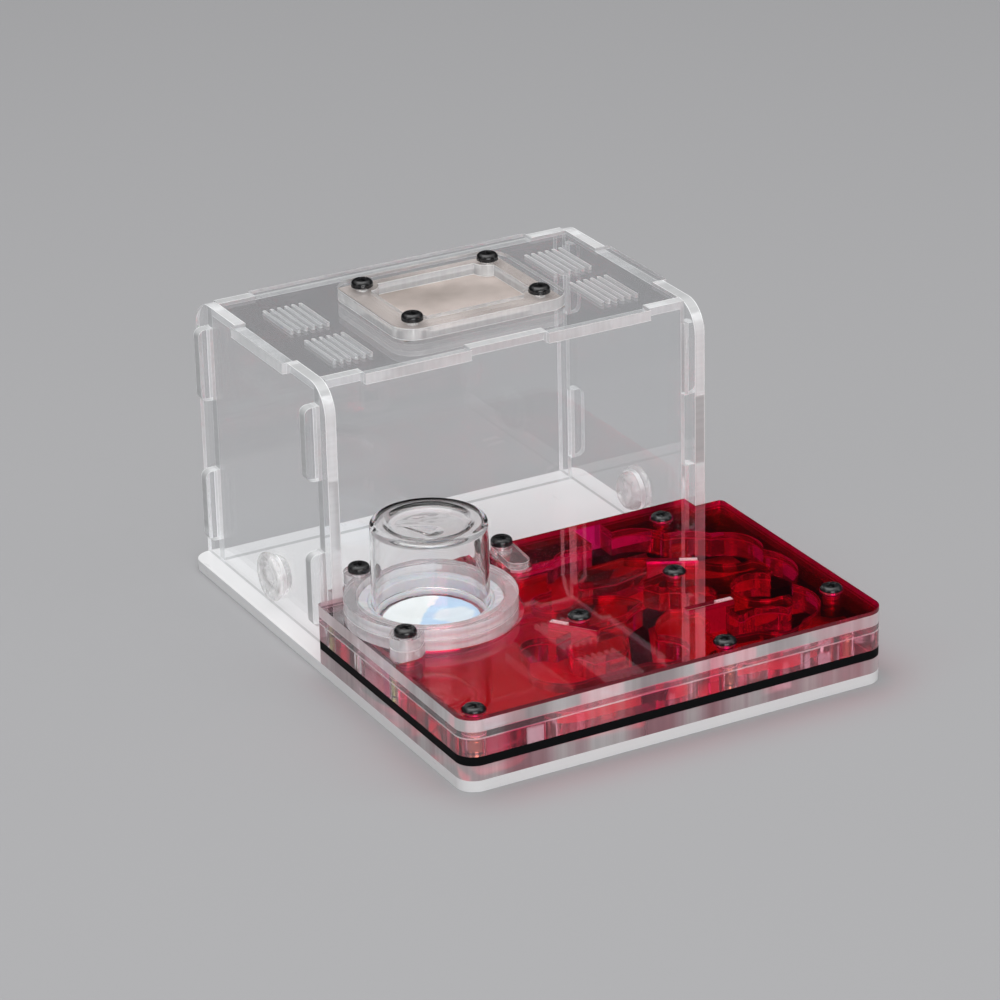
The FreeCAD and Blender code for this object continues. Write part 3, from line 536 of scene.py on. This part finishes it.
def sheet_finish(name, axis, tint, frost, rough, spacing, milk=MILK, haze=0.0, blush=None, cast=0.0, rims=()):
    """Laser-cut acrylic: faces across the axis are polished, and the other faces are cut edges.

    A cut edge is rough, milky in part and marked with lines that run through the thickness, and
    carries a painted highlight, a milkier line, along its highlight rims. Where the red filter lies
    above the sheet, a painted red tint in its body and on its milky patches stands for the filter's
    red light, with cast saying how much of it the patches get, and lamp light through
    the sheet turns the same red.
    """
    f = new_finish(name)
    edge = f.clamp((EDGE_NORMAL - f.maths("ABSOLUTE", f.coordinate(axis, "Normal"))) * EDGE_GAIN)
    stretch = [MARK_STRETCH if k == axis else 1.0 for k in range(3)]
    marks = f.noise(1.0 / spacing, place=f.place(stretch))
    smear = f.noise(90.0, detail=3.0)
    roughness = edge * (marks * 0.1 + rough - 0.03) + smear * 0.02
    normal = f.bump(marks * edge, 0.02 * MM)
    body, cloud, through = rgba(tint), rgba(milk), through_one_face(tint)
    milky = marks * 0.14 + (frost - 0.07)
    # Painted red light: where the filter lies above, the body takes a red tint, the milky patches take red,
    # and lamp light through the sheet turns red too.
    if blush:
        beside = f.clamp((f.coordinate(0) - TOWER_CORNER[0]) * (1 / RED_LIGHT_FADE))
        before = f.clamp((TOWER_CORNER[1] - f.coordinate(1)) * (1 / RED_LIGHT_FADE))
        covered = f.maths("MAXIMUM", beside, before)
        body = f.tint(covered, body, rgba(blush))
        patches = f.clamp((f.noise(75.0, detail=3.0, place=f.place(stretch)) - 0.36) * 3.6)
        cloud = f.tint(covered * patches * cast, cloud, rgba(PAINTED_RED_LIGHT))
        milky = milky * (1.25 - patches * 0.5)
        through = through_one_face(blush)
    glass = f.glass(body, roughness, normal)
    scatter = f.shader(Base_Color=cloud, Roughness=0.35, Normal=normal)
    # Painted highlight: the cut edge turns milkier along a thin line at each of these levels.
    if rims:
        level, highlight = f.coordinate(axis), 0.0
        for rim in rims:
            highlight = f.clamp((HIGHLIGHT_WIDTH - f.maths("ABSOLUTE", level - rim)) * (2.0 / HIGHLIGHT_WIDTH)) + highlight
        milky = f.clamp(highlight * RIM_HIGHLIGHT + milky)
    frosted = f.mix(edge * (milky - haze) + haze, glass, scatter)
    return f.done(f.lets_lamps_through(frosted, through))


def clear_finish(name, tint):
    """Moulded clear plastic, the same all over."""
    f = new_finish(name)
    flow = f.noise(160.0)
    glass = f.glass(rgba(tint), flow * 0.03, f.bump(flow, 0.04 * MM))
    return f.done(f.lets_lamps_through(glass, through_one_face(tint)))


def plug_finish(name, tint):
    """Soft clear plastic with a faint haze in it."""
    f = new_finish(name)
    cloud = f.noise(320.0, detail=3.0)
    normal = f.bump(cloud, 0.06 * MM)
    glass = f.glass(rgba(tint), cloud * 0.1 + 0.06, normal, PLUG_IOR)
    haze = f.shader(Base_Color=(0.92, 0.92, 0.92, 1), Roughness=0.25, Normal=normal)
    return f.done(f.lets_lamps_through(f.mix(cloud * 0.2 + 0.18, glass, haze), tint))


def ground_finish(name, colour, milkiness):
    """Acrylic ground all over, as the gates are."""
    f = new_finish(name)
    grain = f.noise(2600.0)
    normal = f.bump(grain, 0.03 * MM)
    glass = f.glass(rgba(colour), grain * 0.2 + 0.2, normal)
    milk = f.shader(Base_Color=rgba(colour), Roughness=0.4, Normal=normal)
    return f.done(f.lets_lamps_through(f.mix(grain * 0.2 + milkiness, glass, milk), colour))


def plate_finish(name):
    """White cast acrylic with faint handling marks."""
    f = new_finish(name)
    haze = f.noise(60.0, detail=4.0)
    scratch = f.noise(2200.0, place=f.place(scale=(1, 0.06, 1), turn=(0, 0, 0.5)))
    colour = f.tint(haze, (0.86, 0.86, 0.87, 1), (0.91, 0.91, 0.915, 1))
    return f.done(f.shader(Base_Color=colour, Roughness=haze * 0.12 + scratch * 0.1 + 0.2, IOR=ACRYLIC_IOR,
                           Normal=f.bump(scratch, 0.004 * MM)))


def rubber_finish(name):
    """Black rubber with a fine grain."""
    f = new_finish(name)
    grain = f.noise(1800.0, detail=4.0)
    colour = f.tint(grain, (0.003, 0.003, 0.0035, 1), (0.008, 0.008, 0.009, 1))
    return f.done(f.shader(Base_Color=colour, Roughness=grain * 0.2 + 0.5, Specular_IOR_Level=0.05,
                           Normal=f.bump(grain, 0.03 * MM)))


def black_finish(name, colour):
    """Black glossy head on a bare steel thread; the mesh says how bare each point is."""
    f = new_finish(name)
    wear = f.noise(1500.0, detail=3.0)
    bare = f.add("Attribute", {"attribute_name": "bare"}, output="Fac")
    shade = f.tint(bare, rgba(colour), (0.72, 0.71, 0.70, 1))
    return f.done(f.shader(Base_Color=shade, Metallic=bare * 0.95, Roughness=wear * 0.12 + 0.18,
                           Coat_Weight=(1.0 - bare) * 0.2, Coat_Roughness=0.08,
                           Normal=f.bump(wear, 0.006 * MM)))


def brass_finish(name, colour):
    """Brass that is darker where it has dulled."""
    f = new_finish(name)
    wear = f.noise(900.0, detail=3.0)
    shade = f.tint(wear, rgba(colour), rgba([c * 0.6 for c in colour]))
    return f.done(f.shader(Base_Color=shade, Metallic=0.95, Roughness=wear * 0.2 + 0.1))


def weave_finish(name):
    """Fine woven steel: over and under waves along two crossed directions."""
    f = new_finish(name)
    turns = 2 * math.pi / MESH_PITCH
    wires = f.maths("SINE", f.coordinate(0) * turns) * f.maths("SINE", f.coordinate(1) * turns)
    cloud = f.noise(55.0, detail=3.0)
    level = f.clamp(wires * 0.3 + cloud * 1.7 - 0.2)
    shade = f.tint(level, (0.30, 0.25, 0.22, 1), (0.80, 0.70, 0.655, 1))
    return f.done(f.shader(Base_Color=shade, Metallic=0.45, Roughness=cloud * 0.2 + 0.36,
                           Normal=f.bump(wires, 0.06 * MM)))


def silicone_finish(name, colour):
    """Milky silicone that lets some light pass."""
    f = new_finish(name)
    cloud = f.noise(220.0)
    shade = f.tint(cloud, rgba(colour), rgba([min(1, c * 1.08) for c in colour]))
    return f.done(f.shader(Base_Color=shade, Roughness=cloud * 0.1 + 0.22, Subsurface_Weight=0.4,
                           Subsurface_Scale=2 * MM, Alpha=0.66))


def foam_finish(name, pad, water, centre):
    """Damp foam: open pores, and a bluer band where water stands, round a drier island.

    The band starts where a slanting line is crossed, and the island is a disc in it. Slow noise
    moves both their edges.
    """
    f = new_finish(name)
    pores = f.add("TexVoronoi", {"feature": "SMOOTH_F1"}, {"Vector": f.place(), "Scale": 1300.0})
    across, along = slanted(f.coordinate(0) - centre[0], f.coordinate(1) - centre[1])
    wander = (f.noise(170.0) - 0.5) * SHORE_WANDER
    shore = f.clamp((across - along * SHORE_LEAN + SHORE + wander) * SHORE_EDGE)
    east, north = across - ISLAND[0], along - ISLAND[1]
    out = f.maths("SQRT", east * east + north * north)
    island = f.clamp((out + wander - ISLAND_RADIUS) * ISLAND_EDGE)
    shade = f.tint(shore * (island * 0.7 + 0.3), rgba(pad), rgba(water))
    return f.done(f.shader(Base_Color=shade, Roughness=pores * 0.2 + 0.35, Coat_Weight=0.5,
                           Coat_Roughness=0.08, Normal=f.bump(pores, 0.06 * MM)))


def dress(material, *names):
    """Gives CAD nodes, which keep their shape, a finish."""
    for name in names:
        slots = NODES[name].data.materials
        slots.clear()
        slots.append(material)


def carried(piece, material, body, node):
    """Finishes a new piece, fixes it to a body and lets it stand for a CAD node."""
    piece.data.materials.append(material)
    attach(piece, body)
    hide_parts(node)


# ---------------------------------------------------------------- stage
def set_camera(scene):
    """Camera whose view axis comes from yaw and pitch, with its frame rolled about that axis."""
    yaw, pitch, roll = (math.radians(angle) for angle in (CAMERA_YAW, CAMERA_PITCH, CAMERA_ROLL))
    ahead = Vector((math.sin(yaw) * math.cos(pitch), math.cos(yaw) * math.cos(pitch), -math.sin(pitch)))
    right = Vector((math.cos(yaw), -math.sin(yaw), 0))
    above = right.cross(ahead)
    across = right * math.cos(roll) + above * math.sin(roll)
    above = above * math.cos(roll) - right * math.sin(roll)
    lens = bpy.data.cameras.new("camera")
    lens.sensor_width, lens.lens = CAMERA_SENSOR, CAMERA_LENS
    lens.clip_start, lens.clip_end = 0.05, 30.0
    camera = bpy.data.objects.new("camera", lens)
    scene.collection.objects.link(camera)
    turn = Matrix((across, above, -ahead)).transposed().to_4x4()
    camera.matrix_world = Matrix.Translation(CAMERA_PLACE) @ turn
    scene.camera = camera


def add_lamp(scene, name, power, place, size):
    """Soft box that faces the lit spot."""
    lamp = bpy.data.lights.new(name, "AREA")
    lamp.shape, lamp.size, lamp.size_y, lamp.energy = "RECTANGLE", *size, power
    lit = bpy.data.objects.new(name, lamp)
    scene.collection.objects.link(lit)
    lit.location = place
    lit.rotation_euler = (Vector(LIT_SPOT) - Vector(place)).to_track_quat("-Z", "Y").to_euler()


def lay_floor(colour):
    """Level grid of matt paper just under the base plate."""
    side = np.linspace(-FLOOR_HALF, FLOOR_HALF, 9)
    x, y = np.meshgrid(side, side)
    floor = skin("floor", [np.stack([x, y, np.full_like(x, -FLOOR_GAP)], axis=-1)], wrap_columns=False)
    f = new_finish("floor_paper")
    floor.data.materials.append(f.done(f.shader(Base_Color=rgba(colour), Roughness=0.9,
                                                Specular_IOR_Level=0.1)))


def paint_room(scene, strength):
    """A room that is dark up to 30 degrees over the horizon and white from 58 degrees on."""
    f = Finish(bpy.data.worlds.new("room"))
    walls = f.add("ValToRGB", {"stops": ROOM_STOPS}, {"Fac": f.coordinate(2, "Generated")})
    scene.world = f.done(f.add("Background", None, {"Color": walls, "Strength": strength}), "World")


# ---------------------------------------------------------------- operators
class MakeSheets(bpy.types.Operator):
    """Finishes the clear sheets of the arena and the nest, the red filter and the white base"""

    bl_idname = "habitat.sheets"
    bl_label = "Acrylic sheets"

    def execute(self, context):
        s = context.scene.habitat_acrylic
        clear, blush = tuple(s.tint), tuple(s.blush)

        def sheet(name, nodes, frost, rough=s.polish, axis=2, tint=clear, **looks):
            dress(sheet_finish(name, axis, tint, frost, rough, s.mark_spacing, **looks), *nodes)

        for axis, letter, nodes in ARENA_PANELS:
            sheet("clear_across_" + letter, nodes, s.arena_frost, s.edge_roughness, axis,
                  rims=rims_of(axis, *nodes))
        sheet("clear_hatch", ("hatch_frame",), s.hatch_frost, 0.08, haze=0.05, rims=rims_of(2, "hatch_frame"))
        # The seam between the two rings carries the painted highlight line.
        seam = rims_of(2, "tower_clamp_ring")[:1]
        sheet("clear_ring", ("tower_base_ring", "tower_clamp_ring"), s.ring_frost, 0.07, milk=COOL_MILK,
              haze=0.09, rims=seam)
        sheet("clear_flap", ("port_flap", "flap_washer"), s.flap_frost, 0.05, milk=COOL_MILK, haze=0.05,
              rims=rims_of(2, "port_flap"))
        # The nest's sheets carry painted red light under the filter; on the cover it is paler.
        sheet("clear_cover", ("nest_cover",), s.cover_frost, milk=WARM_MILK, cast=0.12,
              blush=tuple(0.5 + 0.5 * c for c in blush))
        sheet("clear_spacer", ("spacer_wall",), s.spacer_frost, milk=WARM_MILK, cast=0.7, blush=blush,
              rims=rims_of(2, "spacer_wall"))
        sheet("clear_walls", ("nest_wall", "nest_islands", "spacer_islands"), s.wall_frost, milk=WARM_MILK,
              cast=1.0, blush=blush, rims=rims_of(2, "nest_wall")[1:])
        sheet("clear_tray", ("water_tray",), s.tray_frost, milk=WARM_MILK, cast=0.5, blush=blush)
        sheet("red_sheet", ("red_filter",), s.filter_frost, tint=tuple(s.red), milk=RED_MILK)
        # The gates' pink is painted red light from the filter above them; the gates are clear ground acrylic.
        dress(ground_finish("ground_gate", (0.95, 0.74, 0.77), 0.35), "gate_right", "gate_front", "gate_left")
        dress(plate_finish("white_plate"), "base_plate")
        dress(rubber_finish("black_rubber"), "gasket")
        return {"FINISHED"}


class MakeScrews(bpy.types.Operator):
    """Makes the black pan-head screws with their cross recesses and threads"""

    bl_idname = "habitat.screws"
    bl_label = "Screws"

    def execute(self, context):
        """Each point's bareness rises from 0 on the head to 1 just under it."""
        s = context.scene.habitat_fasteners
        black = black_finish("black_screw", tuple(s.black))
        for node in SCREW_NODES:
            grids = [screw_grid(*middle_of(low, top), low[2], top[2], s) for low, top in solids(node)]
            piece = skin(node + "_threaded", grids, sharp=45)
            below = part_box(node)[1].z - HEAD_HEIGHT - points_of(piece.data)[:, 2]
            bare = piece.data.attributes.new("bare", "FLOAT", "POINT")
            bare.data.foreach_set("value", smooth(below / BARE_FADE + 0.5).astype(np.float32))
            carried(piece, black, "habitat", node)
        return {"FINISHED"}


class MakeInserts(bpy.types.Operator):
    """Makes the knurled brass inserts"""

    bl_idname = "habitat.inserts"
    bl_label = "Brass inserts"

    def execute(self, context):
        """The outer radius, less a groove at the middle and at each end, less ridges in two bands.

        The ridges follow a cosine of the angle, and each band and groove fades with the distance
        from its middle.
        """
        s = context.scene.habitat_fasteners
        low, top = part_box("threaded_inserts")
        turn = circle(s.knurls * 4)
        share = np.linspace(0, 1, 41)
        band = sum(smooth(1 - np.abs(share - middle) / KNURL_HALF) for middle in KNURL_BANDS)
        waist = smooth(1 - np.abs(share - 0.5) / BUSH_GROOVE_HALF)
        ends = smooth(1 - np.minimum(share, 1 - share) / BUSH_END_HEIGHT) * BUSH_END
        ridge = (0.5 + 0.5 * np.cos(turn * s.knurls)) * KNURL_DEPTH
        groove = np.maximum(waist, ends)[:, None] * BUSH_GROOVE
        outer = BUSH_RADIUS - groove - np.clip(band, 0, 1)[:, None] * ridge
        radius = np.concatenate([outer, np.full((2, len(turn)), BUSH_BORE)])
        height = np.concatenate([low.z + (top.z - low.z) * share, [top.z, low.z]])
        level = np.broadcast_to(height[:, None], radius.shape)
        grid = np.stack([radius * np.cos(turn), radius * np.sin(turn), level], axis=-1)
        grids = [grid + np.array([*middle_of(*bush), 0]) for bush in solids("threaded_inserts")]
        piece = skin("knurled_inserts", grids, wrap_rows=True, sharp=50)
        carried(piece, brass_finish("brass", tuple(s.brass)), "habitat", "threaded_inserts")
        return {"FINISHED"}


class MakeCup(bpy.types.Operator):
    """Makes the moulded water cup with its dished crown"""

    bl_idname = "habitat.cup"
    bl_label = "Water cup"

    def execute(self, context):
        """A turned profile whose crown is dished, with a drop that hangs under the dish.

        The drop falls off with the distance from a middle line, over a width that shrinks to
        nothing along its tail.
        """
        s = context.scene.habitat_tower
        low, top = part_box("water_cup")
        x, y = middle_of(low, top)
        r, wall, dish = (top.x - low.x) / 2, s.cup_wall, s.dish / 2
        neck, floor, roof = r - s.cup_taper, top.z - s.dish_depth, top.z - wall
        under = floor - wall
        profile = rounded_profile([
            (0, floor, 0), (dish + DISH_SLOPE[0], floor, 0.9 * MM), (dish + DISH_SLOPE[1], top.z, 0.8 * MM),
            (neck, top.z, CROWN_ROUND), (r, low.z, CUP_FOOT_ROUND), (r - wall, low.z, CUP_FOOT_ROUND),
            (neck - wall, roof, CROWN_ROUND_INSIDE), (dish + DISH_SLOPE_UNDER[1], roof, 0.7 * MM),
            (dish + DISH_SLOPE_UNDER[0], under, 0.8 * MM), (0, under, 0)], steps=9)
        grid = turned(with_rings(profile, np.linspace(dish - ROOF_LEVEL, 0, 40)[:-1]), (x, y, 0), steps=128)
        across, along = slanted(grid[..., 0] - x, grid[..., 1] - y)
        tail = np.clip(-across / DROP_TAIL, 0, 1)
        off = np.hypot((across + tail * DROP_TAIL) / DROP_STRETCH, along + DROP_ASIDE - tail * DROP_TAIL / 2)
        width = np.maximum(DROP_RADIUS * (1 - tail), DROP_POINT)
        drop = np.clip((1 - off / width) * DROP_FLANK, 0, 1) * np.minimum(1, (1 - tail) * DROP_THIN)
        grid[..., 2] -= drop * s.drop * (np.abs(grid[..., 2] - under) < WELD)
        piece = skin("moulded_cup", [grid], sharp=60)
        clear = clear_finish("moulded_clear", (0.985, 0.985, 0.985))
        carried(piece, clear, "cup", "water_cup")
        return {"FINISHED"}


class MakeSeal(bpy.types.Operator):
    """Makes the milky silicone seal round the foot of the cup"""

    bl_idname = "habitat.seal"
    bl_label = "Silicone seal"

    def execute(self, context):
        """A turned profile: the lip, the socket in the base ring, the flange and its collar."""
        s = context.scene.habitat_tower
        low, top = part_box("cup_seal")
        cup_low, cup_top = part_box("water_cup")
        r, bore, lip = (top.x - low.x) / 2, (cup_top.x - cup_low.x) / 2 + SEAL_SLACK, s.lip / 2
        seat, step, ledge = cup_low.z - SEAL_SEAT, top.z - SEAL_FLANGE, top.z - SEAL_COLLAR_HEIGHT
        profile = rounded_profile([
            (lip, low.z, SEAL_ROUND), (SEAL_SOCKET, low.z, SEAL_ROUND), (SEAL_SOCKET, step, 0.2 * MM),
            (r, step, SEAL_ROUND), (r, top.z, 0.45 * MM), (bore + SEAL_COLLAR[1], top.z, SEAL_ROUND),
            (bore + SEAL_COLLAR[0], ledge, SEAL_ROUND), (bore, ledge, 0.2 * MM), (bore, seat, 0.1 * MM),
            (lip, seat, 0.45 * MM)], closed=True)
        grid = turned(profile, (*middle_of(low, top), 0), steps=128)
        piece = skin("silicone_seal", [grid], wrap_rows=True, sharp=60)
        milky = silicone_finish("milky_silicone", tuple(s.silicone))
        carried(piece, milky, "cup", "cup_seal")
        return {"FINISHED"}


class MakePlugs(bpy.types.Operator):
    """Makes the clear push-in plugs of the side ports"""

    bl_idname = "habitat.plugs"
    bl_label = "Side plugs"

    def execute(self, context):
        """Each is a flange with a sunk face and a stout stem with a domed end, turned about X."""
        clear = plug_finish("plug_clear", (0.95, 0.95, 0.95))
        for node, body, sign in (("plug_left", "left_plug", -1.0), ("plug_right", "right_plug", 1.0)):
            low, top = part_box(node)
            outer, inner = (top.x, low.x) if sign > 0 else (-low.x, -top.x)
            face, back, neck = outer - PLUG_FACE, outer - PLUG_BACK, outer - PLUG_STEM_DEPTH
            sunk, end = face - PLUG_SINK, inner + PLUG_SHORT
            profile = rounded_profile([
                (0, sunk, 0), (PLUG_SINK_RADIUS[0], sunk, 0.5 * MM), (PLUG_SINK_RADIUS[1], face, 0.4 * MM),
                (PLUG_FLANGE, face, 0.9 * MM), (PLUG_FLANGE, back, 0.7 * MM), (PLUG_STEM, back, 0.1 * MM),
                (PLUG_STEM, neck, 0.3 * MM), (PLUG_NOSE, end, 2.4 * MM), (0, end, 0)], steps=9)
            centre = (0, (low.y + top.y) / 2, (low.z + top.z) / 2)
            piece = skin(node + "_moulded", [turned(profile, centre, axis="X", sign=sign)], sharp=50)
            carried(piece, clear, body, node)
        return {"FINISHED"}


class MakePad(bpy.types.Operator):
    """Makes the damp wick pad under the cup"""

    bl_idname = "habitat.pad"
    bl_label = "Wick pad"

    def execute(self, context):
        """A turned block with a soft rim, whose top sinks by slow waves along radius and angle."""
        s = context.scene.habitat_tower
        low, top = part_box("wick_pad")
        x, y = middle_of(low, top)
        r = (top.x - low.x) / 2
        profile = rounded_profile([(0, low.z, 0), (r, low.z, PAD_ROUND[0]), (r, top.z, PAD_ROUND[1]),
                                   (0, top.z, 0)], steps=8)
        profile = with_rings(profile, np.linspace(r - PAD_ROUND[1], 0, 30)[1:-1])
        steps = 96
        grid = turned(profile, (x, y, 0), steps)
        share = profile[:, 0, None] / r
        wave = np.sin(PAD_WAVES[0] * circle(steps) + PAD_WAVES[1] * share) * share
        sink = (1 + wave) * PAD_SINK * (share < PAD_SINK_SHARE)
        grid[..., 2] -= sink * (profile[:, 1, None] > top.z - PAD_SINK_HEIGHT)
        piece = skin("damp_pad", [grid], sharp=60)
        foam = foam_finish("damp_foam", tuple(s.pad), tuple(s.water), (x, y))
        carried(piece, foam, "habitat", "wick_pad")
        return {"FINISHED"}


class MakeMesh(bpy.types.Operator):
    """Makes the woven vent mesh under the hatch frame"""

    bl_idname = "habitat.mesh"
    bl_label = "Vent mesh"

    def execute(self, context):
        """A thin sheet that sags by the product of two arches, with low slow ripples on it."""
        low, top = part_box("vent_mesh")
        x, y = np.meshgrid(np.linspace(low.x + MESH_MARGIN, top.x - MESH_MARGIN, 121),
                           np.linspace(low.y + MESH_MARGIN, top.y - MESH_MARGIN, 101))
        middle = (low.y + top.y) / 2
        arch = (np.clip(1 - (x / MESH_HALF[0]) ** 2, 0, 1)
                * np.clip(1 - ((y - middle) / MESH_HALF[1]) ** 2, 0, 1))
        ripple = MESH_RIPPLE * np.sin(x * MESH_WAVES[0] + y * MESH_WAVES[1])
        z = low.z + MESH_LEVEL + (ripple - MESH_SAG) * arch
        upper = np.stack([x, y, z + MESH_HALF_THICK], axis=-1)
        lower = np.stack([x, y, z - MESH_HALF_THICK], axis=-1)[:, ::-1]
        piece = skin("woven_mesh", [np.concatenate([upper, lower], axis=1)])
        carried(piece, weave_finish("woven_steel"), "habitat", "vent_mesh")
        return {"FINISHED"}


class MakeStage(bpy.types.Operator):
    """Sets the camera, the soft lights, the room and the pale floor"""

    bl_idname = "habitat.stage"
    bl_label = "Stage"

    def execute(self, context):
        scene, s = context.scene, context.scene.habitat_stage
        set_camera(scene)
        for name, setting, place, size in LAMPS:
            add_lamp(scene, name, getattr(s, setting), place, size)
        lay_floor(s.floor)
        paint_room(scene, s.sky)
        scene.view_settings.view_transform = "Standard"
        scene.cycles.max_bounces = 40
        scene.cycles.transmission_bounces = 36
        scene.cycles.transparent_max_bounces = 64
        scene.cycles.glossy_bounces = 6
        return {"FINISHED"}


SETTINGS = {"habitat_acrylic": AcrylicSettings, "habitat_fasteners": FastenerSettings,
            "habitat_tower": TowerSettings, "habitat_stage": StageSettings}
MAKERS = (MakeStage, MakeSheets, MakeScrews, MakeInserts, MakeCup, MakeSeal, MakePlugs, MakePad, MakeMesh)


class HabitatPanel(bpy.types.Panel):
    """Lists the settings and the makers of the habitat's pieces"""

    bl_idname = "HABITAT_PT_pieces"
    bl_label = "Ant habitat"
    bl_space_type = "VIEW_3D"
    bl_region_type = "UI"
    bl_category = "Habitat"

    def draw(self, context):
        for name in SETTINGS:
            settings = getattr(context.scene, name)
            box = self.layout.box()
            for key in settings.bl_rna.properties.keys():
                if key not in ("rna_type", "name"):
                    box.prop(settings, key)
        for maker in MAKERS:
            self.layout.operator(maker.bl_idname)


def register():
    for name, group in SETTINGS.items():
        bpy.utils.register_class(group)
        setattr(bpy.types.Scene, name, PointerProperty(type=group))
    for maker in (*MAKERS, HabitatPanel):
        bpy.utils.register_class(maker)


def unregister():
    for maker in (HabitatPanel, *reversed(MAKERS)):
        bpy.utils.unregister_class(maker)
    for name, group in SETTINGS.items():
        delattr(bpy.types.Scene, name)
        bpy.utils.unregister_class(group)


def main():
    register()
    for maker in MAKERS:
        group, name = maker.bl_idname.split(".")
        getattr(getattr(bpy.ops, group), name)()


if __name__ == "__main__":
    main()
